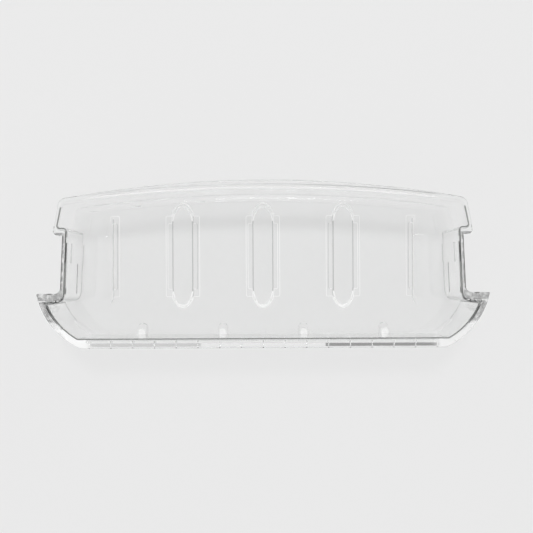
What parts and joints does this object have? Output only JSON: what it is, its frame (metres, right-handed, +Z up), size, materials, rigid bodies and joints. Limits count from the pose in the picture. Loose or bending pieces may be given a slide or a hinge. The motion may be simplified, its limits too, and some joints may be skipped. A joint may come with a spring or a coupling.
{
  "type": "refrigerator door bin",
  "caption": "Clear open-top door bin with a bowed long wall, a straight long wall with curved corners, side recesses that drop over the door's lugs, an outward rim and raised floor pads.",
  "frame": {"origin": "middle of the underside, at the centre of the bin's overall box", "axes": "+X along the bin, +Y towards the bowed wall, +Z up towards the open top"},
  "size_m": [0.4158, 0.1543, 0.093],
  "materials": {
    "clear_styrene": "clear glossy styrene, moulded"
  },
  "bodies": {
    "root": {"door_bin": "clear_styrene"}
  },
  "joints": []
}
